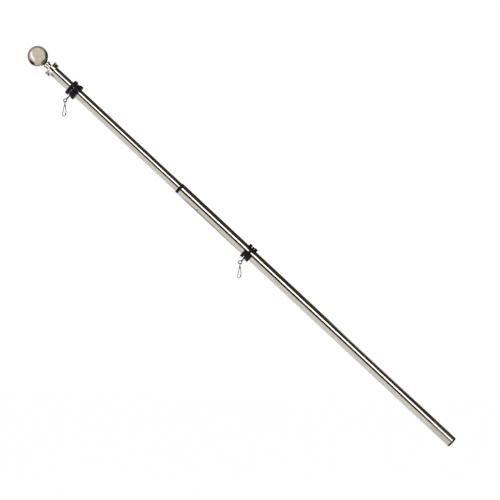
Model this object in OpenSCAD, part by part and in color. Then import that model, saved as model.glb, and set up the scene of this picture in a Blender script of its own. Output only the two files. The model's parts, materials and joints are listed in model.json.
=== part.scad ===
// Telescoping house flagpole, leaning out as a wall bracket holds it.
// Two spinning rings carry the wire snap clips that the flag hangs from.
// Lengths are in millimetres. Everything is drawn along a pole that stands upright
// on its foot, and one turn then leans the whole pole over.

/* [Pole] */

// Lean of the pole above level, in degrees
tilt = 42.9; // [30:0.1:60]
// Outside diameter of the lower tube
lower_d = 25.4; // [24.6:0.1:28]
// Wall of the lower tube
lower_wall = 0.9; // [0.9:0.05:1]
// Length of the lower tube
lower_len = 830; // [780:1:900]
// Outside diameter of the upper tube
upper_d = 22.2; // [20:0.1:22.3]
// Wall of the upper tube
upper_wall = 0.8; // [0.7:0.05:1.2]
// Length of the upper tube
upper_len = 687; // [640:1:760]
// Upper tube that shows between the mouth bushing and the finial
shown_len = 383.2; // [370:0.2:400]

/* [Foot] */

// Thickness of the rim of the foot plug
foot_rim_h = 4; // [2:0.5:6]
// Depth of the foot plug inside the tube
foot_plug_len = 22; // [15:1:40]
// Length of the spigot that a wall bracket takes
spigot_len = 58; // [50:1:75]
// How much slimmer the spigot is than the tube, on the radius
spigot_step = 0.2; // [0.2:0.05:0.4]

/* [Sliding joint] */

// Height of the black lip on the mouth of the lower tube
bushing_h = 7; // [5:0.5:10]
// Depth of the bushing inside the lower tube
bushing_len = 20; // [12:1:30]
// Clearance of the upper tube in the bushing, on the radius
slide_gap = 0.15; // [0.1:0.05:0.25]
// Distance of the stop dimple below the mouth of the lower tube
dimple_depth = 58; // [45:1:80]
// Diameter of the stop dimple
dimple_d = 3.4; // [2.6:0.1:3.6]
// Length of the lock collar below the upper tube
lock_len = 22; // [16:1:30]

/* [Finial] */

// Diameter of the ball
ball_d = 46; // [40:0.5:52]
// Wall of the hollow ball
ball_wall = 1.4; // [1:0.1:2]
// Diameter of the band around the tube's end
band_d = 32; // [30:0.5:36]
// Height of the band
band_h = 6.8; // [6:0.1:10]
// Diameter of the thin lip above the band
lip_d = 35.2; // [33:0.2:40]
// Height of the lip
lip_h = 2.8; // [2:0.1:4]
// Diameter of the groove between band and lip
groove_d = 26; // [25.4:0.2:28]
// Height of the groove
groove_h = 1.6; // [1.2:0.1:3]
// Diameter of the neck
neck_d = 13.4; // [12:0.2:17]
// Height of the neck
neck_h = 9.2; // [5:0.2:10]
// Diameter of the bead under the ball
bead_d = 17; // [15.6:0.2:22]
// Height of the bead
bead_h = 4.2; // [3:0.2:6]
// Diameter of the cup that the ball sits in
seat_d = 21; // [16:0.5:24]
// Height of the cup
seat_h = 4.2; // [3.6:0.1:6]

/* [Ring sets] */

// Height of the middle of the lower ring set above the foot
lower_set_z = 626; // [500:1:700]
// Distance of the middle of the upper ring set below the finial
upper_set_drop = 61.8; // [40:0.2:90]
// Outside diameter of the snap collars
collar_d = 36.5; // [35:0.5:40]
// Height of one snap collar
collar_h = 7.5; // [6:0.5:9]
// Width of the slot in a snap collar
slot_w = 6.2; // [3:0.2:7]
// Direction that the lower slots face, degrees from the front towards the top
lower_slot_turn = 16; // [-40:1:60]
// Direction that the upper slots face, degrees from the front towards the top
upper_slot_turn = 150; // [100:1:180]
// Height of the spinning ring
spinner_h = 5.8; // [4.5:0.1:7]
// Wall of the spinning ring
spinner_wall = 4.2; // [3.4:0.1:5]
// Clearance of the spinning ring on its tube, on the radius
spinner_gap = 0.4; // [0.3:0.05:0.5]
// Clearance between the spinning ring and the collar that it rests on
rest_gap = 0.3; // [0.3:0.05:0.5]
// Play between the lower spinning ring and the collar above it
lower_play = 1.1; // [0.8:0.1:3]
// Play between the upper spinning ring and the collar above it
upper_play = 2.1; // [0.8:0.1:3]

/* [Eyes and clips] */

// Distance of the lower eye from the axis of the pole
lower_reach = 28.6; // [28:0.2:34]
// Distance of the upper eye from the axis of the pole
upper_reach = 30.8; // [28:0.2:34]
// Diameter of the arm that carries the eye
arm_d = 3; // [2.6:0.1:3.6]
// Width of the head that grips the eye
head_d = 5.8; // [5:0.1:6.4]
// Outside diameter of the eye
eye_d = 9.2; // [9:0.1:10]
// Wire of the eye
eye_wire_d = 2; // [1.8:0.1:2.1]
// Wire of the clip
clip_wire_d = 1.5; // [1.4:0.05:1.6]
// Distance from the eye's centre to the bottom of the clip
clip_len = 36; // [34:0.2:42]
// Width of the clip's loop
clip_w = 8; // [7.6:0.1:8.6]
// Lean of the hanging clip towards the ball's side, in degrees
clip_lean = 5; // [0:1:6]

/* [Hidden] */

$fn = 64;
snug = 0.05;
chamfer = 0.5;
rim_inset = 0.2;
lip_inset = 0.3;
lock_gap = 0.2;
metal = [0.78, 0.76, 0.72];
black = [0.1, 0.09, 0.11];

// Where things come along the pole
lower_r = lower_d / 2;
lower_bore_r = lower_r - lower_wall;
upper_r = upper_d / 2;
upper_bore_r = upper_r - upper_wall;
spigot_r = lower_r - spigot_step;
spigot_top_z = foot_rim_h + spigot_len;
mouth_z = foot_rim_h + lower_len;
bushing_top_z = mouth_z + bushing_h;
dimple_z = mouth_z - dimple_depth;
finial_z = bushing_top_z + shown_len;
socket_h = band_h + groove_h / 2;
upper_top_z = finial_z + socket_h;
upper_bottom_z = upper_top_z - upper_len;
groove_z = finial_z + band_h;
lip_z = groove_z + groove_h;
neck_z = lip_z + lip_h;
bead_z = neck_z + neck_h;
stem_z = bead_z + bead_h;
stem_r = 4;
stem_h = 6;
stud_r = 4;
ball_r = ball_d / 2;
seat_r = seat_d / 2;
seat_lift = 1.2;
seat_z = stem_z + seat_lift;
seat_rim_h = 0.5;
seat_top_z = seat_z + seat_h;
ball_z = seat_top_z + sqrt(ball_r * ball_r - seat_r * seat_r);
upper_set_z = finial_z - upper_set_drop;

// Stop dimple: two round faces about one centre, so that the pressed wall keeps its strength
dimple_roundness = 0.7;
dimple_face_r = dimple_d * dimple_roundness;
dimple_out = sqrt(dimple_face_r * dimple_face_r - dimple_d * dimple_d / 4);
dimple_turn = 43;
dimple_clear = 0.2;
dimple_back_r = lower_r + dimple_out - upper_r - dimple_clear;

// Ring set, counted from the middle of the upper set towards the ball
set_h = 2 * collar_h + spinner_h + rest_gap + upper_play;
low_collar_z = -set_h / 2;
spinner_z = low_collar_z + collar_h + rest_gap;
lower_high_collar_z = spinner_z + spinner_h + lower_play;
upper_high_collar_z = spinner_z + spinner_h + upper_play;
arm_z = spinner_z + spinner_h / 2;
head_h = 3.6;

// Eye and clip, counted from the centre of the eye
eye_wire_r = eye_wire_d / 2;
eye_r = eye_d / 2 - eye_wire_r;
wire_r = clip_wire_d / 2;
hang_gap = 0.2;
loop_eye_wire_r = 0.75;
loop_eye_play = 0.4;
loop_eye_r = eye_wire_r + loop_eye_wire_r + loop_eye_play;
loop_eye_z = -(eye_r - eye_wire_r - hang_gap - loop_eye_wire_r) - loop_eye_r;
barrel_r = 1.1;
barrel_top_z = loop_eye_z - loop_eye_r;
barrel_h = 4.2;
shoulder_top_z = barrel_top_z - barrel_h;
shoulder_h = 1.3;
shoulder_z = shoulder_top_z - shoulder_h;
pivot_drop = 1.5;
pivot = [1.2, shoulder_z - pivot_drop];
pivot_pin_r = 0.5;
pivot_fit = 0.05;
gate_eye_r = 1.15;
cheek_r = 1.2;
cheek_gap = 0.15;
cheek_t = 0.6;
leg_root = [-0.9, shoulder_z + shoulder_h / 2];
bend_r = clip_w / 2 - wire_r;
bend = [0, -(clip_len - wire_r - bend_r)];
leg_turn = turn_of(leg_root - bend) + acos(bend_r / norm(leg_root - bend));
knee_out = 1;
knee_share = 0.62;
knee = [bend_r + knee_out, (1 - knee_share) * pivot[1] + knee_share * bend[1]];
gate_turn = turn_of(knee - bend) - acos(bend_r / norm(knee - bend));
leg_end = on_bend(leg_turn);
gate_end = on_bend(gate_turn);
nose_gap_turn = 22;
latch_r = 1.45;
latch_len = 3.4;

// Direction of a point seen from the origin, in degrees
function turn_of(p) = atan2(p[1], p[0]);

// Point on the middle of the clip's bottom bend
function on_bend(turn) = bend + bend_r * [cos(turn), sin(turn)];

// Leans the upright pole over to the ball's side
module leaning() {
    rotate([0, tilt - 90, 0])
        children();
}

// Goes to the centre of an eye and turns back upright, because a clip hangs plumb
module at_eye(set_z, reach) {
    translate([-reach, 0, set_z + arm_z])
        rotate([0, 90 - tilt + clip_lean, 0])
            children();
}

// Hollow round bar
module pipe(outer_r, inner_r, h) {
    difference() {
        cylinder(r = outer_r, h = h);
        translate([0, 0, -1])
            cylinder(r = inner_r, h = h + 2);
    }
}

// Round wire between two points of the clip's plane
module wire(from, to, r) {
    step = to - from;
    translate([from[0], 0, from[1]])
        rotate([0, atan2(step[0], step[1]), 0])
            cylinder(r = r, h = norm(step));
}

// Moves to a point of the clip's plane and lays a flat outline into that plane
module in_plane(p, thick) {
    translate([p[0], thick / 2, p[1]])
        rotate([90, 0, 0])
            linear_extrude(thick)
                children();
}

// Ball used to press the stop dimple into the tube's wall
module dimple_ball(r) {
    rotate([0, 0, -90 - dimple_turn])
        translate([lower_r + dimple_out, 0, dimple_z])
            sphere(r = r);
}

// Tube that the bracket holds, with its spigot and the dimple that stops the upper tube
module lower_tube() {
    color(metal)
        leaning()
            difference() {
                union() {
                    translate([0, 0, spigot_top_z])
                        pipe(lower_r, lower_bore_r, mouth_z - spigot_top_z);
                    translate([0, 0, foot_rim_h])
                        pipe(spigot_r, lower_bore_r, spigot_len);
                    intersection() {
                        dimple_ball(dimple_back_r);
                        translate([0, 0, dimple_z - dimple_d])
                            cylinder(r = lower_bore_r + lower_wall / 2, h = 2 * dimple_d);
                    }
                }
                dimple_ball(dimple_face_r);
            }
}

// Black plug that closes the foot
module foot_plug() {
    rim_r = spigot_r - rim_inset;
    plug_r = lower_bore_r - snug;
    color(black)
        leaning()
            difference() {
                rotate_extrude()
                    polygon([[0, 0], [rim_r - chamfer, 0], [rim_r, chamfer], [rim_r, foot_rim_h],
                             [plug_r, foot_rim_h], [plug_r, foot_rim_h + foot_plug_len - chamfer],
                             [plug_r - chamfer, foot_rim_h + foot_plug_len],
                             [0, foot_rim_h + foot_plug_len]]);
                translate([0, 0, 2 * foot_rim_h])
                    cylinder(r = plug_r - 2, h = foot_plug_len);
            }
}

// Black bushing in the mouth of the lower tube, which guides the upper tube
module mouth_bushing() {
    rim_r = lower_r - lip_inset;
    skirt_r = lower_bore_r - snug;
    guide_r = upper_r + slide_gap;
    color(black)
        leaning()
            translate([0, 0, mouth_z])
                rotate_extrude()
                    polygon([[guide_r, -bushing_len], [skirt_r, -bushing_len], [skirt_r, 0],
                             [rim_r, 0], [rim_r, bushing_h - chamfer],
                             [rim_r - chamfer, bushing_h], [guide_r, bushing_h]]);
}

// Tube that slides out of the lower one
module upper_tube() {
    color(metal)
        leaning()
            translate([0, 0, upper_bottom_z])
                pipe(upper_r, upper_bore_r, upper_len);
}

// Lock inside the pole: a collar that wedges in the lower tube, on a plug in the upper tube's end
module lock_plug() {
    plug_r = upper_bore_r - snug;
    collar_r = lower_bore_r - lock_gap;
    color(black)
        leaning()
            translate([0, 0, upper_bottom_z])
                rotate_extrude()
                    polygon([[0, -lock_len], [collar_r - chamfer, -lock_len],
                             [collar_r, chamfer - lock_len], [collar_r, 0], [plug_r, 0],
                             [plug_r, lock_len - chamfer], [plug_r - chamfer, lock_len],
                             [0, lock_len]]);
}

// Turned cap that the tube's end stands in
module finial_cap() {
    color(metal)
        leaning()
            difference() {
                rotate_extrude()
                    polygon([[0, finial_z], [band_d / 2 - chamfer, finial_z],
                             [band_d / 2, finial_z + chamfer], [band_d / 2, groove_z - chamfer],
                             [band_d / 2 - chamfer, groove_z], [groove_d / 2, groove_z],
                             [groove_d / 2, lip_z], [lip_d / 2 - chamfer, lip_z],
                             [lip_d / 2, lip_z + chamfer], [lip_d / 2, neck_z - chamfer],
                             [lip_d / 2 - chamfer, neck_z], [0, neck_z]]);
                translate([0, 0, finial_z - 1])
                    cylinder(r = upper_r + snug, h = socket_h + 1);
                translate([0, 0, finial_z])
                    cylinder(r = stud_r + snug, h = neck_z - finial_z + 1);
            }
}

// Turned neck with its bead and cup; a stud holds it in the cap and a stem holds the ball
module finial_neck() {
    stud_h = 6;
    color(metal)
        leaning() {
            difference() {
                rotate_extrude()
                    polygon([[0, neck_z - stud_h], [stud_r, neck_z - stud_h], [stud_r, neck_z],
                             [neck_d / 2, neck_z], [neck_d / 2, bead_z],
                             [bead_d / 2 - chamfer, bead_z], [bead_d / 2, bead_z + chamfer],
                             [bead_d / 2, stem_z - chamfer], [bead_d / 2 - chamfer, stem_z],
                             [stem_r, stem_z], [stem_r, seat_z],
                             [seat_r, seat_top_z - seat_rim_h], [seat_r, seat_top_z],
                             [0, seat_top_z]]);
                translate([0, 0, ball_z])
                    sphere(r = ball_r + snug);
            }
            translate([0, 0, seat_z])
                cylinder(r = stem_r, h = stem_h);
        }
}

// Hollow ball on the stem
module finial_ball() {
    color(metal)
        leaning()
            difference() {
                translate([0, 0, ball_z])
                    sphere(r = ball_r);
                translate([0, 0, ball_z])
                    sphere(r = ball_r - ball_wall);
                translate([0, 0, seat_z])
                    cylinder(r = stem_r + snug, h = 2 * stem_h);
            }
}

// Split collar that snaps around a tube
module collar(set_z, offset_z, tube_r, slot_turn) {
    bore_r = tube_r + snug;
    outer_r = collar_d / 2;
    color(black)
        leaning()
            translate([0, 0, set_z + offset_z])
                difference() {
                    rotate_extrude()
                        polygon([[bore_r, 0], [outer_r - chamfer, 0], [outer_r, chamfer],
                                 [outer_r, collar_h - chamfer], [outer_r - chamfer, collar_h],
                                 [bore_r, collar_h]]);
                    rotate([0, 0, slot_turn - 90])
                        translate([0, -slot_w / 2, -1])
                            cube([outer_r + 1, slot_w, collar_h + 2]);
                }
}

// Ring that turns on its tube between two collars, with the arm and the head that grips the eye
module spinner(set_z, tube_r, reach) {
    bore_r = tube_r + spinner_gap;
    outer_r = bore_r + spinner_wall;
    head_end = reach - eye_r + eye_wire_r;
    color(black)
        leaning()
            translate([0, 0, set_z])
                difference() {
                    union() {
                        translate([0, 0, spinner_z])
                            rotate_extrude()
                                polygon([[bore_r, 0], [outer_r - chamfer, 0], [outer_r, chamfer],
                                         [outer_r, spinner_h - chamfer],
                                         [outer_r - chamfer, spinner_h], [bore_r, spinner_h]]);
                        translate([-bore_r - spinner_wall / 2, 0, arm_z])
                            rotate([0, -90, 0])
                                cylinder(d = arm_d, h = head_end - head_h - bore_r - spinner_wall / 2);
                        translate([head_h - head_end, 0, arm_z])
                            rotate([0, -90, 0])
                                cylinder(d1 = arm_d, d2 = head_d, h = head_h);
                    }
                    translate([-reach, 0, arm_z])
                        eye_ring(eye_wire_r + snug);
                }
}

// Round eye lying in the plane of the pole's lean
module eye_ring(r) {
    rotate([90, 0, 0])
        rotate_extrude()
            translate([eye_r, 0])
                circle(r = r);
}

// Metal eye moulded into the arm's head
module eye(set_z, reach) {
    color(metal)
        leaning()
            translate([-reach, 0, set_z + arm_z])
                eye_ring(eye_wire_r);
}

// Fixed side of the wire snap clip: loop on the eye, barrel, pivot cheeks, leg and nose
module clip_hook(set_z, reach) {
    cheek_y = wire_r + cheek_gap;
    shoulder_w = pivot[0] + cheek_r - leg_root[0] + wire_r;
    color(metal)
        leaning()
            at_eye(set_z, reach) {
                translate([0, 0, loop_eye_z])
                    rotate([0, 90, 0])
                        rotate_extrude()
                            translate([loop_eye_r, 0])
                                circle(r = loop_eye_wire_r);
                wire([0, barrel_top_z], [0, shoulder_z + shoulder_h / 2], barrel_r);
                translate([leg_root[0] - wire_r, -cheek_y - cheek_t, shoulder_z])
                    cube([shoulder_w, 2 * (cheek_y + cheek_t), shoulder_h]);
                for (side = [-1, 1])
                    translate([0, side * (cheek_y + cheek_t / 2), 0]) {
                        in_plane(pivot, cheek_t)
                            circle(r = cheek_r);
                        in_plane(pivot, cheek_t)
                            translate([-cheek_r, 0])
                                square([2 * cheek_r, shoulder_z - pivot[1] + shoulder_h / 2]);
                    }
                in_plane(pivot, 2 * (cheek_y + cheek_t))
                    circle(r = pivot_pin_r);
                wire(leg_root, leg_end, wire_r);
                translate([leg_end[0], 0, leg_end[1]])
                    sphere(r = wire_r + snug);
                translate([bend[0], 0, bend[1]])
                    rotate([90, 0, 0])
                        rotate([0, 0, leg_turn])
                            rotate_extrude(angle = 360 + gate_turn - nose_gap_turn - leg_turn)
                                translate([bend_r, 0])
                                    circle(r = wire_r);
            }
}

// Sprung side of the clip, with a knee in its wire, which turns inwards about its pivot
module clip_gate(set_z, reach) {
    color(metal)
        leaning()
            at_eye(set_z, reach)
                difference() {
                    union() {
                        in_plane(pivot, 2 * wire_r)
                            circle(r = gate_eye_r);
                        wire(pivot, knee, wire_r);
                        translate([knee[0], 0, knee[1]])
                            sphere(r = wire_r + snug);
                        wire(knee, gate_end, wire_r);
                    }
                    in_plane(pivot, 4 * wire_r)
                        circle(r = pivot_pin_r + pivot_fit);
                }
}

// Dark sleeve on the free end of the gate
module clip_latch(set_z, reach) {
    start = gate_end + latch_len * (knee - gate_end) / norm(knee - gate_end);
    past = gate_end + (gate_end - knee) / norm(knee - gate_end);
    color(black)
        leaning()
            at_eye(set_z, reach)
                difference() {
                    wire(start, gate_end, latch_r);
                    wire(knee, past, wire_r + snug);
                }
}

lower_tube();
foot_plug();
mouth_bushing();
upper_tube();
lock_plug();
finial_cap();
finial_neck();
finial_ball();
collar(lower_set_z, low_collar_z, lower_r, lower_slot_turn);  // lower_collar_bottom
collar(lower_set_z, lower_high_collar_z, lower_r, lower_slot_turn);  // lower_collar_top
spinner(lower_set_z, lower_r, lower_reach);  // lower_spinner
eye(lower_set_z, lower_reach);  // lower_eye
clip_hook(lower_set_z, lower_reach);  // lower_clip_hook
clip_gate(lower_set_z, lower_reach);  // lower_clip_gate
clip_latch(lower_set_z, lower_reach);  // lower_clip_latch
collar(upper_set_z, low_collar_z, upper_r, upper_slot_turn);  // upper_collar_bottom
collar(upper_set_z, upper_high_collar_z, upper_r, upper_slot_turn);  // upper_collar_top
spinner(upper_set_z, upper_r, upper_reach);  // upper_spinner
eye(upper_set_z, upper_reach);  // upper_eye
clip_hook(upper_set_z, upper_reach);  // upper_clip_hook
clip_gate(upper_set_z, upper_reach);  // upper_clip_gate
clip_latch(upper_set_z, upper_reach);  // upper_clip_latch
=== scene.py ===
"""Looks of a telescoping house flagpole: brushed nickel tubes, a satin ball, black rings and wire clips."""

import json
import math

import bmesh
import bpy
import numpy as np
from mathutils import Matrix, Vector


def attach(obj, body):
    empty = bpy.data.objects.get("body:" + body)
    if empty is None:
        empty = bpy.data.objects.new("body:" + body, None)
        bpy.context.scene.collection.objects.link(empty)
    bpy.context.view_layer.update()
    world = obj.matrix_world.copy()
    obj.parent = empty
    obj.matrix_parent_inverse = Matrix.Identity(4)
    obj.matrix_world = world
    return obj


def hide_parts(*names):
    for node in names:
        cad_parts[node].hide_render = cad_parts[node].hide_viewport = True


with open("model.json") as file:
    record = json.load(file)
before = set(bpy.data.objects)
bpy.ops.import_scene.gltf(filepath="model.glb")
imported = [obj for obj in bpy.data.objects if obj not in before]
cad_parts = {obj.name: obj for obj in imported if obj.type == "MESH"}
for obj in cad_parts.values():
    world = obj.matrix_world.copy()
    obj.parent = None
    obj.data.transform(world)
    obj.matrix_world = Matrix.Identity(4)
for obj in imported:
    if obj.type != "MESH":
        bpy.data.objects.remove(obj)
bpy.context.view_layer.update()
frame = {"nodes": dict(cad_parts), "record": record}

# The unit, the directions of the pole and its turn from upright
mm = 0.001
mounts = {mount["name"]: mount for mount in frame["record"]["mounts"]}
foot = np.array(mounts["foot_face"]["pos_m"])
up_pole = -np.array(mounts["foot_face"]["axis"])
back = np.array([0.0, 1.0, 0.0])
to_camera = -back
top_side = np.cross(back, up_pole)
plumb_turn = math.acos(up_pole[2])

# The photograph's scale, the pixel on which the foot's centre lies, and the camera's roll in degrees
photo_pixel = 2.25 * mm
photo_width = 500
foot_pixel = (452.1, 442.5)
camera_roll = 0.1

# Tubes, bushing and foot plug: sizes that the solids' outer shapes don't give
lower_wall = 0.9 * mm
upper_wall = 0.8 * mm
snug = 0.05 * mm
slide_gap = 0.15 * mm
spigot_len = mounts["foot_spigot"]["dims"]["length_mm"] * mm
spigot_r = mounts["foot_spigot"]["dims"]["r_mm"] * mm
tube_edge = 0.1 * mm
bushing_edge = 0.5 * mm
plug_edge = 1.1 * mm
dimple_drop = 58.0 * mm
dimple_d = 3.4 * mm
dimple_ball_r = 0.7 * dimple_d
dimple_turn = math.radians(-133.0)
dimple_reach = 3.0 * mm

# Finial
band_r = 16.0 * mm
band_h = 6.8 * mm
groove_r = 13.0 * mm
groove_h = 1.6 * mm
cap_edge = 0.6 * mm
neck_r = 6.7 * mm
neck_h = 9.2 * mm
bead_r = 8.5 * mm
bead_h = 4.2 * mm
stem_r = 4.0 * mm
stem_h = 1.2 * mm
seat_rim_h = 0.5 * mm
neck_edge = 0.9 * mm

# Rings, arms and eyes
slot_w = 6.2 * mm
ring_edge = 0.4 * mm
spinner_gap = 0.4 * mm
spinner_wall = 4.2 * mm
spinner_h = 5.8 * mm
arm_r = 1.5 * mm
head_r = 2.9 * mm
head_h = 3.6 * mm
arm_edge = 0.5 * mm
eye_wire_r = 1.0 * mm

# Clips: places count from the eye's middle, across the clip in its plane and up along it
clip_lean = math.radians(5.0)
clip_wire_r = 0.75 * mm
wire_edge = 0.25 * mm
loop_drop = 3.8 * mm
loop_r = 2.15 * mm
barrel_r = 1.1 * mm
barrel_top = -5.95 * mm
barrel_edge = 0.4 * mm
leg_root = np.array([-0.9, -10.8]) * mm
shoulder_low = np.array([-1.65, -1.5, -11.45]) * mm
shoulder_high = np.array([2.4, 1.5, -10.15]) * mm
pivot = np.array([1.2, -12.95]) * mm
pivot_r = 0.5 * mm
pivot_fit = 0.05 * mm
pivot_edge = 0.1 * mm
cheek_r = 1.2 * mm
cheek_in = 0.9 * mm
cheek_out = 1.5 * mm
cheek_edge = 0.1 * mm
gate_eye_r = 1.15 * mm
gate_start = 0.85 * mm
bend = np.array([0.0, -32.0]) * mm
bend_r = 3.25 * mm
nose_turn = math.radians(330.4)
knee = np.array([4.25, -24.76]) * mm
knee_round = 2.5 * mm
gate_end = np.array([3.22, -32.43]) * mm
latch_r = 1.45 * mm
latch_len = 3.4 * mm
latch_edge = 0.3 * mm

# Points along and around the surfaces
lower_columns = 192
upper_columns = 128
dimple_rows = 49
ball_rows = 96
ball_columns = 128
collar_rows = 97
arm_columns = 48
eye_rows = 97
eye_columns = 24
loop_rows = 65
loop_columns = 20
wire_rows = 120
wire_columns = 24
pivot_columns = 40
cheek_foot_points = 25
block_rows = 33
block_columns = 64
knee_steps = 16
leg_points = 30
bend_points = 60


def linear(code):
    """sRGB hex to linear red, green, blue and alpha 1, by the standard's two-part curve."""
    parts = np.array([int(code[i:i + 2], 16) / 255 for i in (1, 3, 5)])
    curve = np.where(parts <= 0.04045, parts / 12.92, ((parts + 0.055) / 1.055) ** 2.4)
    return (*curve.tolist(), 1.0)


def add(tree, kind, settings=None, values=None, links=None):
    """Adds one node: settings are its properties, values its sockets, links its inputs."""
    node = tree.nodes.new(kind)
    for name, value in (settings or {}).items():
        setattr(node, name, value)
    for name, value in (values or {}).items():
        node.inputs[name].default_value = value
    for name, source in (links or {}).items():
        tree.links.new(source, node.inputs[name])
    return node


def new_material(name):
    """An empty node material and its tree."""
    material = bpy.data.materials.new(name)
    material.use_nodes = True
    material.node_tree.nodes.clear()
    return material, material.node_tree


def brushed_metal(name, colour, streak, roughness, anisotropy, depth):
    """Metal brushed around the pole: 0.3 mm lines dent and dull it, 7 mm bands shift its tone."""
    line_length = 25 * mm
    line_width = 0.3 * mm
    line_depth = 0.02 * mm
    band_length = 40 * mm
    band_width = 7 * mm
    gloss_spread = 0.05
    tone_range = (0.3, 0.7)
    material, tree = new_material(name)
    place = add(tree, "ShaderNodeTexCoord")
    stand = add(tree, "ShaderNodeMapping", values={"Rotation": (0, plumb_turn, 0)},
                links={"Vector": place.outputs["Object"]})
    fine = add(tree, "ShaderNodeMapping",
               values={"Scale": (1 / line_length, 1 / line_length, 1 / line_width)},
               links={"Vector": stand.outputs["Vector"]})
    lines = add(tree, "ShaderNodeTexNoise", values={"Scale": 1.0, "Detail": 3.0},
                links={"Vector": fine.outputs["Vector"]})
    wide = add(tree, "ShaderNodeMapping",
               values={"Scale": (1 / band_length, 1 / band_length, 1 / band_width)},
               links={"Vector": stand.outputs["Vector"]})
    bands = add(tree, "ShaderNodeTexNoise", values={"Scale": 1.0, "Detail": 2.0},
                links={"Vector": wide.outputs["Vector"]})
    dull = add(tree, "ShaderNodeMapRange",
               values={"To Min": roughness - gloss_spread, "To Max": roughness + gloss_spread},
               links={"Value": lines.outputs["Fac"]})
    tone = add(tree, "ShaderNodeValToRGB", links={"Fac": bands.outputs["Fac"]})
    for stop, position, code in zip(tone.color_ramp.elements, tone_range, (streak, colour)):
        stop.position = position
        stop.color = linear(code)
    dent = add(tree, "ShaderNodeBump", values={"Strength": depth, "Distance": line_depth},
               links={"Height": lines.outputs["Fac"]})
    follow = add(tree, "ShaderNodeTangent", settings={"direction_type": "UV_MAP", "uv_map": "wrap"})
    shader = add(tree, "ShaderNodeBsdfPrincipled",
                 values={"Metallic": 1.0, "Anisotropic": anisotropy, "Anisotropic Rotation": 0.25},
                 links={"Base Color": tone.outputs["Color"], "Roughness": dull.outputs["Result"],
                        "Normal": dent.outputs["Normal"], "Tangent": follow.outputs["Tangent"]})
    add(tree, "ShaderNodeOutputMaterial", links={"Surface": shader.outputs["BSDF"]})
    return material


def moulded_plastic(name, colour, roughness):
    """Moulded black plastic: a fine grain of 0.4 mm dents it and makes its gloss uneven."""
    grain_size = 0.4 * mm
    grain_depth = 0.03 * mm
    gloss_spread = 0.08
    material, tree = new_material(name)
    place = add(tree, "ShaderNodeTexCoord")
    grain = add(tree, "ShaderNodeTexNoise", values={"Scale": 1 / grain_size, "Detail": 2.0},
                links={"Vector": place.outputs["Object"]})
    gloss = add(tree, "ShaderNodeMapRange",
                values={"To Min": roughness - gloss_spread, "To Max": roughness + gloss_spread},
                links={"Value": grain.outputs["Fac"]})
    dent = add(tree, "ShaderNodeBump", values={"Strength": 0.12, "Distance": grain_depth},
               links={"Height": grain.outputs["Fac"]})
    shader = add(tree, "ShaderNodeBsdfPrincipled",
                 values={"Base Color": linear(colour), "IOR": 1.45, "Specular IOR Level": 0.15},
                 links={"Roughness": gloss.outputs["Result"], "Normal": dent.outputs["Normal"]})
    add(tree, "ShaderNodeOutputMaterial", links={"Surface": shader.outputs["BSDF"]})
    return material


def drawn_wire(name, colour, roughness):
    """Drawn and plated wire: an unevenness of 0.6 mm dents it and varies its gloss."""
    uneven_size = 0.6 * mm
    uneven_depth = 0.03 * mm
    brighter = 0.06
    duller = 0.1
    material, tree = new_material(name)
    place = add(tree, "ShaderNodeTexCoord")
    drawn = add(tree, "ShaderNodeTexNoise", values={"Scale": 1 / uneven_size, "Detail": 3.0},
                links={"Vector": place.outputs["Object"]})
    gloss = add(tree, "ShaderNodeMapRange",
                values={"To Min": roughness - brighter, "To Max": roughness + duller},
                links={"Value": drawn.outputs["Fac"]})
    dent = add(tree, "ShaderNodeBump", values={"Strength": 0.08, "Distance": uneven_depth},
               links={"Height": drawn.outputs["Fac"]})
    shader = add(tree, "ShaderNodeBsdfPrincipled",
                 values={"Base Color": linear(colour), "Metallic": 1.0},
                 links={"Roughness": gloss.outputs["Result"], "Normal": dent.outputs["Normal"]})
    add(tree, "ShaderNodeOutputMaterial", links={"Surface": shader.outputs["BSDF"]})
    return material


# Steel tube, nickel plated and brushed around: a warm, slightly blurred mirror
nickel = brushed_metal("brushed_nickel", "#CDC8BE", "#C6C1B6",
                       roughness=0.16, anisotropy=0.6, depth=0.06)
# The same tube where the bracket's socket has rubbed it: greyer and duller
rubbed_nickel = brushed_metal("rubbed_nickel", "#C3BFB9", "#BBB7B0",
                              roughness=0.3, anisotropy=0.5, depth=0.12)
# The same with painted shade for the seam under the ball: darker and duller, standing in for the shade and
# dark reflection there
seam_shade_nickel = brushed_metal("seam_shade_nickel", "#7F796F", "#756F66",
                              roughness=0.4, anisotropy=0.0, depth=0.12)
# The same with painted shade, in the stop dimple and where the lower ring turns between its collars: darker
# still
hollow_shade_nickel = brushed_metal("hollow_shade_nickel", "#4A453F", "#423E38",
                               roughness=0.45, anisotropy=0.0, depth=0.12)
# Spun steel ball, nickel plated and blasted to an even satin: what it mirrors has soft edges
satin_nickel = brushed_metal("satin_nickel", "#C4BBAB", "#BFB6A6",
                             roughness=0.24, anisotropy=0.0, depth=0.02)
# Polypropylene mouldings, black with a slight violet cast and a low gloss
black_plastic = moulded_plastic("black_plastic", "#17131A", roughness=0.42)
# Plated clip wire: the lightest metal of the clip
clip_wire = drawn_wire("plated_clip_wire", "#505054", roughness=0.25)
# Cast eye and swivel, tarnished almost black
dark_swivel = drawn_wire("tarnished_zinc", "#161418", roughness=0.35)
# Crimped sleeve of browned steel: dark and dull
dark_sleeve = drawn_wire("browned_steel", "#2B2A2C", roughness=0.4)


def places(node):
    """A CAD node's points, counted from the foot: to the pole's top side, to the back and along it."""
    mesh = frame["nodes"][node].data
    points = np.zeros(len(mesh.vertices) * 3)
    mesh.vertices.foreach_get("co", points)
    return (points.reshape(-1, 3) - foot) @ np.column_stack([top_side, back, up_pole])


def span(node):
    """Lowest and highest station of a CAD node along the pole and its largest distance from the axis."""
    points = places(node)
    out = np.hypot(points[:, 0], points[:, 1])
    return points[:, 2].min(), points[:, 2].max(), out.max()


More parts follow.
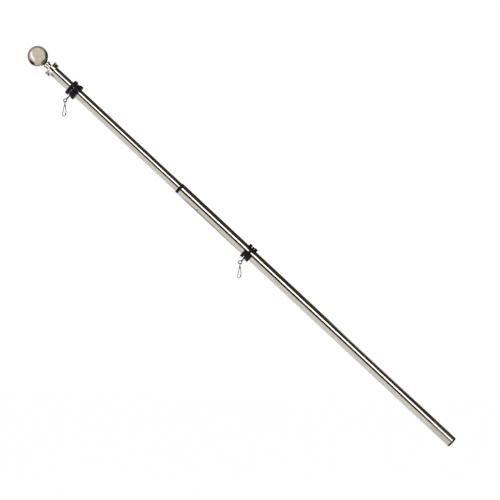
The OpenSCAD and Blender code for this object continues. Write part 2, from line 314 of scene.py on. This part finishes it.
def rounded(corners, radius, steps=5):
    """Outline with soft corners: each corner becomes the curve (1-t)^2 a + 2t(1-t) c + t^2 b between
    the points a and b that lie the radius before and after the corner c, or less on a short side. The two
    ends stay."""
    side_share = 0.45
    corners = np.asarray(corners, float)
    before = corners[:-2] - corners[1:-1]
    after = corners[2:] - corners[1:-1]
    reach_before = np.linalg.norm(before, axis=1, keepdims=True)
    reach_after = np.linalg.norm(after, axis=1, keepdims=True)
    cut = np.minimum(radius, side_share * np.minimum(reach_before, reach_after))
    start = corners[1:-1] + before / reach_before * cut
    end = corners[1:-1] + after / reach_after * cut
    t = np.linspace(0, 1, steps + 1)[None, :, None]
    arcs = ((1 - t) ** 2 * start[:, None] + 2 * t * (1 - t) * corners[1:-1, None]
            + t ** 2 * end[:, None])
    return np.vstack([corners[:1], arcs.reshape(-1, 2), corners[-1:]])


def closed_outline(corners, radius):
    """Soft-cornered outline that runs back to where it started, at the middle of its last side."""
    corners = np.asarray(corners, float)
    middle = (corners[-1] + corners[0]) / 2
    return rounded(np.vstack([middle, corners, middle]), radius)


def skin(name, grids, material):
    """One mesh over grids of points, rows by columns, whose columns close on themselves. Points that
    fall together, as at a pole or where an outline ends on its start, become one."""
    merge_distance = 1e-7
    sharp_turn = math.radians(40)
    points = []
    quads = []
    spread = []
    count = 0
    for grid in grids:
        rows, columns = grid.shape[:2]
        index = count + np.arange(rows * columns).reshape(rows, columns)
        right = np.roll(index, -1, axis=1)
        quads.append(np.stack([index[:-1], right[:-1], right[1:], index[1:]], -1).reshape(-1, 4))
        turn = np.broadcast_to(np.arange(columns)[None] / columns, (rows, columns))
        step = np.linalg.norm(np.diff(grid[:, 0], axis=0), axis=1)
        way = np.broadcast_to(np.concatenate([[0], np.cumsum(step)])[:, None], (rows, columns))
        across = np.stack([turn[:-1], turn[:-1] + 1 / columns, turn[1:] + 1 / columns, turn[1:]], -1)
        along = np.stack([way[:-1], way[:-1], way[1:], way[1:]], -1)
        spread.append(np.stack([across, along], -1).reshape(-1, 2))
        points.append(grid.reshape(-1, 3))
        count += rows * columns
    mesh = bpy.data.meshes.new(name)
    mesh.from_pydata(np.vstack(points).tolist(), [], np.vstack(quads).tolist())
    mesh.uv_layers.new(name="wrap").data.foreach_set("uv", np.vstack(spread).ravel())
    work = bmesh.new()
    work.from_mesh(mesh)
    bmesh.ops.remove_doubles(work, verts=work.verts, dist=merge_distance)
    bmesh.ops.recalc_face_normals(work, faces=work.faces)
    work.to_mesh(mesh)
    work.free()
    mesh.polygons.foreach_set("use_smooth", np.ones(len(mesh.polygons), bool))
    mesh.set_sharp_from_angle(angle=sharp_turn)
    mesh.materials.append(material)
    piece = bpy.data.objects.new(name, mesh)
    bpy.context.scene.collection.objects.link(piece)
    return piece


def on_pole(x, y, z):
    """Points from places counted from the foot: x to the pole's top side, y to the back, z along it."""
    return foot + x[..., None] * top_side + y[..., None] * back + z[..., None] * up_pole


def station_of(points):
    """Station of each point along the pole, counted from the foot."""
    return (points - foot) @ up_pole


def turned(outline, columns=96, dent=None):
    """Turned shape: the outline's radius and station go around an axis, giving radius times (cos a, sin a)
    and the station. dent takes station and turn and gives what it takes off the radius."""
    turn = np.linspace(0, 2 * np.pi, columns, endpoint=False)[None]
    radius = np.broadcast_to(outline[:, :1], (len(outline), columns))
    station = np.broadcast_to(outline[:, 1:], (len(outline), columns))
    if dent is not None:
        radius = radius - dent(station, turn)
    return radius * np.cos(turn), radius * np.sin(turn), station


def wire_ring(ring_r, wire_r, rows, columns):
    """Round wire bent to a ring: a circle of the wire's radius carried around a circle of the ring's. It
    gives the two ways in the ring's plane and the one across it."""
    turn = np.linspace(0, 2 * np.pi, rows)[:, None]
    girth = np.linspace(0, 2 * np.pi, columns, endpoint=False)[None]
    out = ring_r + wire_r * np.cos(girth)
    return out * np.cos(turn), out * np.sin(turn), wire_r * np.sin(girth) + 0 * turn


def put(piece, body, node):
    """Hangs a piece on a body and lets it stand for its CAD node."""
    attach(piece, body)
    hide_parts(node)


def refinish(piece, finish, chosen):
    """Gives another finish to the faces whose middles are chosen."""
    faces = piece.data.polygons
    middles = np.zeros(len(faces) * 3)
    faces.foreach_get("center", middles)
    index = np.zeros(len(faces), np.int32)
    faces.foreach_get("material_index", index)
    index[chosen(middles.reshape(-1, 3))] = len(piece.data.materials)
    piece.data.materials.append(finish)
    faces.foreach_set("material_index", index)


# Lower tube, with its spigot, its stop dimple and the track on which the lower ring turns
lower_low, lower_high, lower_r = span("lower_tube")
lower_bore = lower_r - lower_wall
spigot_end = lower_low + spigot_len
mid_wall = (lower_bore + spigot_r) / 2
dimple_at = lower_high - dimple_drop
dimple_spot = on_pole(lower_r * np.cos(dimple_turn), lower_r * np.sin(dimple_turn), dimple_at)
track_low = span("lower_collar_bottom")[1]
track_high = span("lower_collar_top")[0]


def stop_dimple(station, turn):
    """Hollow of a ball pressed into the tube: sqrt(R^2 - d^2) less the ball's stand-off, where that is
    above zero and d is the distance from the dimple's middle over the tube's face."""
    stand_off = math.sqrt(dimple_ball_r ** 2 - dimple_d ** 2 / 4)
    aside = (turn - dimple_turn + np.pi) % (2 * np.pi) - np.pi
    far = (station - dimple_at) ** 2 + (aside * lower_r) ** 2
    depth = np.sqrt(np.clip(dimple_ball_r ** 2 - far, 0, None)) - stand_off
    return np.clip(depth, 0, None)


def shaded_hollows(spots):
    """True in the stop dimple and on the lower ring's track, the places that get painted shade."""
    in_dimple = np.linalg.norm(spots - dimple_spot, axis=1) < dimple_d / 2
    on_track = (station_of(spots) > track_low) & (station_of(spots) < track_high)
    return in_dimple | on_track


near_dimple = dimple_at + np.linspace(-dimple_reach, dimple_reach, dimple_rows)
tube_rows = np.concatenate([[track_low, track_high], near_dimple])
lower_outline = np.vstack([
    rounded([(mid_wall, lower_low), (spigot_r, lower_low), (spigot_r, spigot_end),
             (lower_r, spigot_end), (lower_r, track_low)], tube_edge)[:-1],
    np.column_stack([np.full(len(tube_rows), lower_r), tube_rows]),
    rounded([(lower_r, near_dimple[-1]), (lower_r, lower_high), (lower_bore, lower_high),
             (lower_bore, lower_low), (mid_wall, lower_low)], tube_edge)[1:],
])
lower_tube = skin("lower_tube_skin",
                  [on_pole(*turned(lower_outline, lower_columns, stop_dimple))], nickel)
put(lower_tube, "lower_pole", "lower_tube")
refinish(lower_tube, rubbed_nickel, lambda spots: station_of(spots) < spigot_end)
# Painted shade: the stop dimple and the tube between the lower collars are darker, for the shade in the
# hollow and the gaps
refinish(lower_tube, hollow_shade_nickel, shaded_hollows)

# Upper tube
upper_low, upper_high, upper_r = span("upper_tube")
upper_bore = upper_r - upper_wall
upper_outline = closed_outline([(upper_bore, upper_low), (upper_r, upper_low), (upper_r, upper_high),
                                (upper_bore, upper_high)], tube_edge)
upper_tube = skin("upper_tube_skin", [on_pole(*turned(upper_outline, upper_columns))], nickel)
put(upper_tube, "upper_pole", "upper_tube")

# Black bushing and foot plug
bushing_low, bushing_high, bushing_r = span("mouth_bushing")
guide_r = upper_r + slide_gap
skirt_r = lower_bore - snug
bushing_outline = closed_outline(
    [(guide_r, bushing_low), (skirt_r, bushing_low), (skirt_r, lower_high), (bushing_r, lower_high),
     (bushing_r, bushing_high), (guide_r, bushing_high)], bushing_edge)
bushing = skin("mouth_bushing_skin", [on_pole(*turned(bushing_outline))], black_plastic)
put(bushing, "lower_pole", "mouth_bushing")

plug_low, plug_high, plug_r = span("foot_plug")
plug_outline = rounded(
    [(0, plug_low), (plug_r, plug_low), (plug_r, lower_low), (skirt_r, lower_low),
     (skirt_r, plug_high), (0, plug_high)], plug_edge)
foot_plug = skin("foot_plug_skin", [on_pole(*turned(plug_outline))], black_plastic)
put(foot_plug, "lower_pole", "foot_plug")

# Finial: cap, neck and ball
cap_low, cap_high, lip_r = span("finial_cap")
socket_r = upper_r + snug
band_high = cap_low + band_h
lip_low = band_high + groove_h
cap_outline = rounded(
    [(0, upper_high), (socket_r, upper_high), (socket_r, cap_low), (band_r, cap_low), (band_r, band_high),
     (groove_r, band_high), (groove_r, lip_low), (lip_r, lip_low), (lip_r, cap_high), (0, cap_high)],
    cap_edge)
cap = skin("finial_cap_skin", [on_pole(*turned(cap_outline))], nickel)
put(cap, "upper_pole", "finial_cap")

ball_high, ball_r = span("finial_ball")[1:]
ball_at = ball_high - ball_r
seat_r = span("finial_neck")[2]
seat_top = ball_at - math.sqrt(ball_r ** 2 - seat_r ** 2)
seat_floor = seat_top - seat_rim_h
bead_low = cap_high + neck_h
bead_high = bead_low + bead_h
neck_outline = rounded(
    [(0, cap_high), (neck_r, cap_high), (neck_r, bead_low), (bead_r, bead_low), (bead_r, bead_high),
     (stem_r, bead_high), (stem_r, bead_high + stem_h), (seat_r, seat_floor), (seat_r, seat_top),
     (stem_r, seat_floor), (0, seat_floor)], neck_edge)
neck = skin("finial_neck_skin", [on_pole(*turned(neck_outline))], nickel)
put(neck, "upper_pole", "finial_neck")
# Painted shade: the neck's seat under the ball is darker, for the shade and dark reflection at the seam
refinish(neck, seam_shade_nickel, lambda spots: station_of(spots) > bead_high + stem_h / 2)

shell_r = ball_r - snug / 2
ball_turn = np.linspace(-math.acos(stem_r / shell_r), math.pi / 2, ball_rows)
ball_outline = np.column_stack([shell_r * np.cos(ball_turn), ball_at + shell_r * np.sin(ball_turn)])
ball_outline[-1, 0] = 0
ball_outline = np.vstack([[(0, ball_outline[0, 1])], ball_outline])
ball = skin("finial_ball_skin", [on_pole(*turned(ball_outline, ball_columns))], satin_nickel)
put(ball, "upper_pole", "finial_ball")


# Ring sets: the eye's reach is its distance from the pole's axis, its station the one along the pole
def split_collar(node, body, bore):
    """Snap collar: a soft-cornered section carried around the pole from one wall of its slot to the
    other. The slot's walls are parallel, so a point at radius r starts asin(w / 2r) beside its middle.
    Each wall closes on the middle of its section."""
    low, high, outer = span(node)
    section = closed_outline([(bore, low), (outer, low), (outer, high), (bore, high)], ring_edge)[:-1]
    middle = places(node).mean(axis=0)
    slot_at = math.atan2(-middle[1], -middle[0])
    aside = np.arcsin(slot_w / 2 / section[:, 0])[None]
    share = np.linspace(0, 1, collar_rows)[:, None]
    turn = slot_at + aside + share * (2 * np.pi - 2 * aside)
    x = section[:, 0] * np.cos(turn)
    y = section[:, 0] * np.sin(turn)
    z = section[:, 1] + 0 * turn
    walled = [np.vstack([np.full_like(grid[:1], grid[0].mean()), grid,
                         np.full_like(grid[:1], grid[-1].mean())]) for grid in (x, y, z)]
    put(skin(node + "_skin", [on_pole(*walled)], black_plastic), body, node)


def spinning_ring(place, bore, reach, station, eye_r):
    """Ring with its arm: the ring is turned about the pole, and the arm with its flared head about the
    line from the pole's axis to the middle of the eye."""
    outer = bore + spinner_wall
    low = station - spinner_h / 2
    high = station + spinner_h / 2
    hoop = on_pole(*turned(closed_outline(
        [(bore, low), (outer, low), (outer, high), (bore, high)], ring_edge)))
    arm_root = outer - spinner_wall / 2
    head_end = reach - eye_r + eye_wire_r
    x, y, z = turned(rounded([(0, arm_root), (arm_r, arm_root), (arm_r, head_end - head_h),
                              (head_r, head_end), (0, head_end)], arm_edge), arm_columns)
    piece = skin(f"{place}_spinner_skin", [hoop, on_pole(-z, y, station + x)], black_plastic)
    put(piece, f"{place}_ring", f"{place}_spinner")


def metal_eye(place, reach, station, eye_r):
    """Wire ring in the plane of the pole and the arm."""
    out, along, across = wire_ring(eye_r, eye_wire_r, eye_rows, eye_columns)
    eye = skin(f"{place}_eye_skin", [on_pole(-reach + out, across, station + along)], dark_swivel)
    put(eye, f"{place}_ring", f"{place}_eye")


# Snap clips: x goes across the clip in its plane, y to the back and z up along it
def on_clip(middle, x, y, z):
    """Points from places on the clip, which leans a little from hanging straight down."""
    hung_x = x * math.cos(clip_lean) + z * math.sin(clip_lean)
    hung_z = z * math.cos(clip_lean) - x * math.sin(clip_lean)
    return middle + np.stack(np.broadcast_arrays(hung_x, y, hung_z), -1)


def bent(path, outline):
    """Turned shape bent along a path in the clip's plane: an outline point of radius r and way s gives the
    path's point at s plus r cos a along the path's normal and r sin a across the plane."""
    step = np.linalg.norm(np.diff(path, axis=0), axis=1)
    way = np.concatenate([[0], np.cumsum(step)])
    heading = np.gradient(path, way, axis=0)
    at_x, at_z, to_x, to_z = (np.interp(outline[:, 1], way, line)[:, None]
                              for line in (*path.T, *heading.T))
    reach = np.hypot(to_x, to_z)
    turn = np.linspace(0, 2 * np.pi, wire_columns, endpoint=False)[None]
    out = outline[:, :1] * np.cos(turn)
    return at_x - out * to_z / reach, outline[:, :1] * np.sin(turn), at_z + out * to_x / reach


def wire(path):
    """Wire of the clip's gauge along a path, its ends cut square with the edge taken off."""
    length = np.linalg.norm(np.diff(path, axis=0), axis=1).sum()
    inner = np.linspace(wire_edge, length - wire_edge, wire_rows)
    start = rounded([(0, 0), (clip_wire_r, 0), (clip_wire_r, 2 * wire_edge)], wire_edge)
    end = rounded([(clip_wire_r, length - 2 * wire_edge), (clip_wire_r, length), (0, length)], wire_edge)
    side = np.column_stack([np.full(len(inner), clip_wire_r), inner])
    return bent(path, np.vstack([start[:-1], side[1:-1], end[1:]]))


def about_pivot(outline):
    """Turned shape about the pivot's line, which stands square on the clip's plane."""
    x, z, y = turned(outline, pivot_columns)
    return pivot[0] + x, y, pivot[1] + z


def cheek(side):
    """Plate beside the gate: an outline with a round foot and a square top, carried through its
    thickness and drawn in a little at both faces."""
    face_share = 0.9
    round_foot = np.linspace(math.pi, 2 * math.pi, cheek_foot_points)
    foot_line = pivot + cheek_r * np.column_stack([np.cos(round_foot), np.sin(round_foot)])
    loop = np.vstack([foot_line, [(pivot[0] + cheek_r, leg_root[1]), (pivot[0] - cheek_r, leg_root[1])]])
    middle = loop.mean(axis=0)
    draw = np.array([0, face_share, 1, 1, face_share, 0])[:, None, None]
    depth = np.array([cheek_in, cheek_in, cheek_in + cheek_edge,
                      cheek_out - cheek_edge, cheek_out, cheek_out])
    flat = middle + draw * (loop - middle)
    return flat[..., 0], side * depth[:, None], flat[..., 1]


def soft_block(low, high):
    """Block with soft edges: each coordinate of a ball's surface, sign(c) |c|^0.25, scaled to its side."""
    softness = 0.25
    down = np.linspace(0, np.pi, block_rows)[:, None]
    turn = np.linspace(0, 2 * np.pi, block_columns, endpoint=False)[None]
    ball_parts = (np.sin(down) * np.cos(turn), np.sin(down) * np.sin(turn), np.cos(down) + 0 * turn)
    soft = [np.sign(part) * np.abs(part) ** softness for part in ball_parts]
    most = [np.abs(part).max() for part in soft]
    half = (high - low) / 2
    middle = (high + low) / 2
    return tuple(middle[i] + half[i] * soft[i] / most[i] for i in range(3))


def clip_hook(place, eye_middle):
    """Fixed side of the clip: loop on the eye, barrel, shoulder, cheeks, pin, and the leg with its bend."""
    loop_y, loop_z, loop_x = wire_ring(loop_r, clip_wire_r, loop_rows, loop_columns)
    loop = (loop_x, loop_y, loop_z - loop_drop)
    barrel_h = barrel_top - leg_root[1]
    barrel = bent(np.array([(0, barrel_top), (0, leg_root[1])]),
                  rounded([(0, 0), (barrel_r, 0), (barrel_r, barrel_h), (0, barrel_h)], barrel_edge))
    shoulder = soft_block(shoulder_low, shoulder_high)
    pin = about_pivot(rounded([(0, -cheek_out), (pivot_r, -cheek_out), (pivot_r, cheek_out),
                               (0, cheek_out)], pivot_edge))
    to_leg = leg_root - bend
    leg_turn = math.atan2(to_leg[1], to_leg[0]) + math.acos(bend_r / np.linalg.norm(to_leg))
    round_bend = np.linspace(leg_turn, nose_turn, bend_points)
    under = bend + bend_r * np.column_stack([np.cos(round_bend), np.sin(round_bend)])
    leg = wire(np.vstack([np.linspace(leg_root, under[0], leg_points)[:-1], under]))
    parts = (loop, barrel, shoulder, cheek(-1), cheek(1), pin, leg)
    piece = skin(f"{place}_clip_hook_skin", [on_clip(eye_middle, *part) for part in parts], clip_wire)
    put(piece, f"{place}_clip", f"{place}_clip_hook")
    swivel_low = shoulder_high[2] + 0.1 * mm
    refinish(piece, dark_swivel, lambda spots: (spots - eye_middle)[:, 2] > swivel_low)


def clip_gate(place, eye_middle):
    """Sprung side: a flat eye on the pivot and a wire with a knee; a sleeve sits on the wire's end."""
    hub_bore = pivot_r + pivot_fit
    hub = about_pivot(closed_outline([(hub_bore, -clip_wire_r), (gate_eye_r, -clip_wire_r),
                                      (gate_eye_r, clip_wire_r), (hub_bore, clip_wire_r)], pivot_edge))
    start = pivot + gate_start * (knee - pivot) / np.linalg.norm(knee - pivot)
    arm = wire(rounded([start, knee, gate_end], knee_round, knee_steps))
    gate = skin(f"{place}_clip_gate_skin", [on_clip(eye_middle, *part) for part in (hub, arm)], clip_wire)
    put(gate, f"{place}_gate", f"{place}_clip_gate")
    sleeve_start = gate_end + latch_len * (knee - gate_end) / np.linalg.norm(knee - gate_end)
    bore = clip_wire_r + snug
    sleeve = bent(np.array([sleeve_start, gate_end]), closed_outline(
        [(bore, 0), (latch_r, 0), (latch_r, latch_len), (bore, latch_len)], latch_edge))
    latch = skin(f"{place}_clip_latch_skin", [on_clip(eye_middle, *sleeve)], dark_sleeve)
    put(latch, f"{place}_gate", f"{place}_clip_latch")


for place, tube_r in (("lower", lower_r), ("upper", upper_r)):
    eye_points = places(f"{place}_eye")
    eye_low = eye_points.min(axis=0)
    eye_high = eye_points.max(axis=0)
    eye_reach = -(eye_low[0] + eye_high[0]) / 2
    eye_station = (eye_low[2] + eye_high[2]) / 2
    eye_ring_r = (eye_high[2] - eye_low[2]) / 2 - eye_wire_r
    eye_spot = foot - eye_reach * top_side + eye_station * up_pole
    split_collar(f"{place}_collar_bottom", f"{place}_pole", tube_r + snug)
    split_collar(f"{place}_collar_top", f"{place}_pole", tube_r + snug)
    spinning_ring(place, tube_r + spinner_gap, eye_reach, eye_station, eye_ring_r)
    metal_eye(place, eye_reach, eye_station, eye_ring_r)
    clip_hook(place, eye_spot)
    clip_gate(place, eye_spot)

# The lock inside the pole stays the solid that it is
lock_finish = frame["nodes"]["lock_plug"].data.materials
lock_finish.clear()
lock_finish.append(black_plastic)

# Stage: white surroundings, a pale floor, a strip light, lamps for the finial, and cards that the metal
# mirrors. Turns around the pole are degrees from the camera's side towards its top side. Stations are
# metres along the pole from its foot
scene = bpy.context.scene
scene.view_settings.view_transform = "Standard"
world_light = 0.6
world_seen = 1.0
strip_turns = (18.8, 43.6)
strip_stations = (-1.0, 2.2)
strip_far = 1.6
cloth_low = -1.2
cloth_high = 2.3
cloth_far = 1.8
above_first = strip_turns[1]
above_last = 176
above_last_at_foot = 114
front_turns = (-20, 19)
front_first_past_foot = -4
below_first = -165
below_last = -92
below_far = 0.5
above_lamp_turns = (above_first, 100)
cap_lamp_turns = (-44, -20)
lamp_stations = (cloth_low, cloth_high)
lamp_far = cloth_far - 0.01
cloth_columns = 24
under_stations = (1.237, 1.285)
under_last = -86
under_far = 0.11
floor_z = -0.8
floor_half = 12
floor_glow = 1.145
floor_glow_share = 0.75

# Stage around the ball: directions in the picture are degrees from its right towards its top
crescent_ends = np.array([146, 238])
crescent_offs = np.array([83.5, 58.5])
crescent_far = 1.0
crescent_width = 0.33
right_sheet_low = -19
right_sheet_high = 40
left_sheet_high = 205
left_sheet_low = 240
below_sheet_end = 276
sheet_far = 0.14
right_sheet_far = 0.2
sheet_end = 178
sheet_rows = 16
sheet_columns = 48


def seen_or_mirrored(tree):
    """1 for rays from the camera and for mirrored or transmitted ones, 0 for diffuse light."""
    ray = add(tree, "ShaderNodeLightPath")
    either = add(tree, "ShaderNodeMath", settings={"operation": "MAXIMUM"},
                 links={0: ray.outputs["Is Camera Ray"], 1: ray.outputs["Is Glossy Ray"]})
    any_of = add(tree, "ShaderNodeMath", settings={"operation": "MAXIMUM"},
                 links={0: either.outputs[0], 1: ray.outputs["Is Transmission Ray"]})
    return any_of.outputs[0]


world = bpy.data.worlds.new("white_studio")
scene.world = world
world.use_nodes = True
world.node_tree.nodes.clear()
level = add(world.node_tree, "ShaderNodeMapRange", values={"To Min": world_light, "To Max": world_seen},
            links={"Value": seen_or_mirrored(world.node_tree)})
glow = add(world.node_tree, "ShaderNodeBackground", values={"Color": (1, 1, 1, 1)},
           links={"Strength": level.outputs["Result"]})
add(world.node_tree, "ShaderNodeOutputWorld", links={"Surface": glow.outputs["Background"]})


def round_pole(turn, far, station):
    """Points beside the pole at a turn, a distance from its axis and a station."""
    turn = np.radians(turn)[..., None]
    far = np.asarray(far)[..., None]
    return (foot + far * (np.cos(turn) * to_camera + np.sin(turn) * top_side)
            + np.asarray(station)[..., None] * up_pole)


def lamp_group(name, *pieces):
    """Collection of the pieces that a lamp lights, or that it leaves out where they are set so."""
    group = bpy.data.collections.new(name)
    for piece in pieces:
        group.objects.link(piece)
    return group


def soft_box(name, middle, aim, long_way, size, width, radiance, receivers, colour="#FFFFFF"):
    """Area lamp that faces its aim, with its long side along long_way. A sheet of radiance L and area A
    gives pi L A watts. It lights the receivers only."""
    lamp = bpy.data.objects.new(name, bpy.data.lights.new(name, "AREA"))
    lamp.data.shape = "RECTANGLE"
    lamp.data.size = size
    lamp.data.size_y = width
    lamp.data.energy = radiance * math.pi * size * width
    facing = Vector(middle - aim).normalized()
    across = facing.cross(Vector(long_way)).normalized()
    turn = Matrix((across.cross(facing), across, facing)).transposed().to_4x4()
    lamp.matrix_world = Matrix.Translation(Vector(middle)) @ turn
    lamp.data.color = linear(colour)[:3]
    lamp.light_linking.receiver_collection = receivers
    scene.collection.objects.link(lamp)


def beside_pole(name, turns, far, stations, radiance, receivers):
    """Lamp along the pole that spans two turns, its long edges the distance far away, between two
    stations."""
    turn = np.array(sum(turns) / 2)
    half = math.radians((turns[1] - turns[0]) / 2)
    station = sum(stations) / 2
    soft_box(name, round_pole(turn, far * math.cos(half), station), round_pole(turn, 0.0, station), up_pole,
             stations[1] - stations[0], 2 * far * math.sin(half), radiance, receivers)


# The strip lights all but the satin ball, which has lamps of its own before the dark cloths. One more lamp
# lights the neck and cap
all_but_ball = lamp_group("all_but_ball", ball)
all_but_ball.collection_objects[0].light_linking.link_state = "EXCLUDE"
only_ball = lamp_group("only_ball", ball)
neck_and_cap = lamp_group("neck_and_cap", neck, cap)
beside_pole("strip_light", strip_turns, strip_far, strip_stations, radiance=2.0, receivers=all_but_ball)
beside_pole("ball_lamp_front", front_turns, lamp_far, lamp_stations, radiance=1.0, receivers=only_ball)
beside_pole("ball_lamp_above", above_lamp_turns, lamp_far, lamp_stations, radiance=0.97,
            receivers=only_ball)
beside_pole("cap_lamp", cap_lamp_turns, lamp_far, lamp_stations, radiance=1.5, receivers=neck_and_cap)


def card(name, points, colour):
    """Sheet of cloth or paper over a grid of points that only reflections see."""
    rows, columns = points.shape[:2]
    index = np.arange(rows * columns).reshape(rows, columns)
    quads = np.stack([index[:-1, :-1], index[:-1, 1:], index[1:, 1:], index[1:, :-1]], -1)
    mesh = bpy.data.meshes.new(name)
    mesh.from_pydata(points.reshape(-1, 3).tolist(), [], quads.reshape(-1, 4).tolist())
    material, tree = new_material(name)
    tone = add(tree, "ShaderNodeEmission", values={"Color": linear(colour), "Strength": 1.0})
    add(tree, "ShaderNodeOutputMaterial", links={"Surface": tone.outputs["Emission"]})
    mesh.materials.append(material)
    sheet = bpy.data.objects.new(name, mesh)
    scene.collection.objects.link(sheet)
    sheet.visible_camera = False
    sheet.visible_diffuse = False
    sheet.visible_shadow = False
    sheet.visible_transmission = False


def bowed(rows, far):
    """Grid bowed around the pole: each row is a station with the first and the last turn there."""
    station, first, last = np.array(rows, float).T[..., None]
    turn = first + np.linspace(0, 1, cloth_columns) * (last - first)
    return round_pole(turn, far, station + 0 * turn)


# Cloths along the pole: the dark one above is narrower at the foot, the one in front is narrower past the
# foot, and the grey one is mirrored in the lower tube's under side near its mouth
cloth_above = [(cloth_low, above_first, above_last), (-0.2, above_first, above_last),
               (-0.05, above_first, above_last_at_foot), (0.2, above_first, above_last_at_foot),
               (0.3, above_first, above_last), (cloth_high, above_first, above_last)]
cloth_front = [(cloth_low, front_first_past_foot, front_turns[1]),
               (-0.5, front_first_past_foot, front_turns[1]),
               (-0.36, *front_turns), (cloth_high, *front_turns)]
cloth_below = [(0.64, below_first, -130), (0.77, below_first, below_last), (0.857, below_first, below_last)]
card("dark_cloth_above", bowed(cloth_above, cloth_far), "#3C3836")
card("dark_cloth_front", bowed(cloth_front, cloth_far), "#1A1817")
card("grey_cloth_below", bowed(cloth_below, below_far), "#B4B5AE")

ball_centre = foot + ball_at * up_pole


def from_ball(picture_turn, off, far):
    """Points at a distance from the ball's middle: off degrees from the camera's side, in the direction
    picture_turn in the picture."""
    turn = np.radians(picture_turn)[..., None]
    off = np.radians(off)[..., None]
    across = np.cos(turn) * np.array([1.0, 0.0, 0.0]) + np.sin(turn) * np.array([0.0, 0.0, 1.0])
    return ball_centre + far * (np.cos(off) * to_camera + np.sin(off) * across)


# A lamp that makes the bright crescent on the ball's left
crescent = from_ball(crescent_ends, crescent_offs, crescent_far)
crescent_way = crescent[0] - crescent[1]
soft_box("ball_lamp_left", crescent.mean(axis=0), ball_centre, crescent_way, np.linalg.norm(crescent_way),
         crescent_width, radiance=1.5, receivers=only_ball, colour="#DCE0FF")


def sheet_behind(name, first, last, off, far, colour):
    """Sheet that bows around the ball behind it, between two directions in the picture. It starts off
    degrees from the camera's side."""
    turn = np.linspace(first, last, sheet_columns)[None]
    away = np.linspace(off, sheet_end, sheet_rows)[:, None]
    card(name, from_ball(turn + 0 * away, away + 0 * turn, far), colour)


# Sheets behind the ball that its rim mirrors, and one below the neck and ball
sheet_behind("grey_sheet_behind", right_sheet_high, left_sheet_high, 96, sheet_far, "#A09AA6")
sheet_behind("dark_sheet_left", left_sheet_high, left_sheet_low, 87, sheet_far, "#4A4442")
sheet_behind("grey_sheet_below", left_sheet_low, below_sheet_end, 124, sheet_far, "#A39C98")
sheet_behind("dark_sheet_right", right_sheet_low, right_sheet_high, 98, right_sheet_far, "#4A4442")
sheet_under = [(station, below_first, under_last) for station in under_stations]
card("dark_sheet_under", bowed(sheet_under, under_far), "#1A1516")

# Floor: white paint that also glows for the camera and for reflections
floor_corners = [(x * floor_half, y * floor_half, floor_z) for x, y in ((-1, -1), (1, -1), (1, 1), (-1, 1))]
floor_mesh = bpy.data.meshes.new("floor")
floor_mesh.from_pydata(floor_corners, [], [(0, 1, 2, 3)])
floor_paint, tree = new_material("white_floor")
paint = add(tree, "ShaderNodeBsdfDiffuse", values={"Color": linear("#F4F4F4")})
shine = add(tree, "ShaderNodeEmission", values={"Strength": floor_glow})
share = add(tree, "ShaderNodeMath", settings={"operation": "MULTIPLY"}, values={1: floor_glow_share},
            links={0: seen_or_mirrored(tree)})
mixed = add(tree, "ShaderNodeMixShader",
            links={0: share.outputs[0], 1: paint.outputs["BSDF"], 2: shine.outputs["Emission"]})
add(tree, "ShaderNodeOutputMaterial", links={"Surface": mixed.outputs["Shader"]})
floor_mesh.materials.append(floor_paint)
floor = bpy.data.objects.new("floor", floor_mesh)
scene.collection.objects.link(floor)

# Camera: a long lens square on to the pole, framed as the photograph is
lens = 135.0
sensor = 36.0
frame_width = photo_width * photo_pixel
camera = bpy.data.objects.new("camera", bpy.data.cameras.new("camera"))
camera.data.lens = lens
camera.data.sensor_width = sensor
camera_far = frame_width * lens / sensor
stand = Matrix.Rotation(math.pi / 2, 3, "X") @ Matrix.Rotation(math.radians(camera_roll), 3, "Z")
right, up, away = stand.transposed()
camera.location = (Vector(foot) + camera_far * away
                   + (photo_width / 2 - foot_pixel[0]) * photo_pixel * right
                   + (foot_pixel[1] - photo_width / 2) * photo_pixel * up)
camera.rotation_euler = stand.to_euler()
scene.collection.objects.link(camera)
scene.camera = camera

bpy.context.view_layer.update()
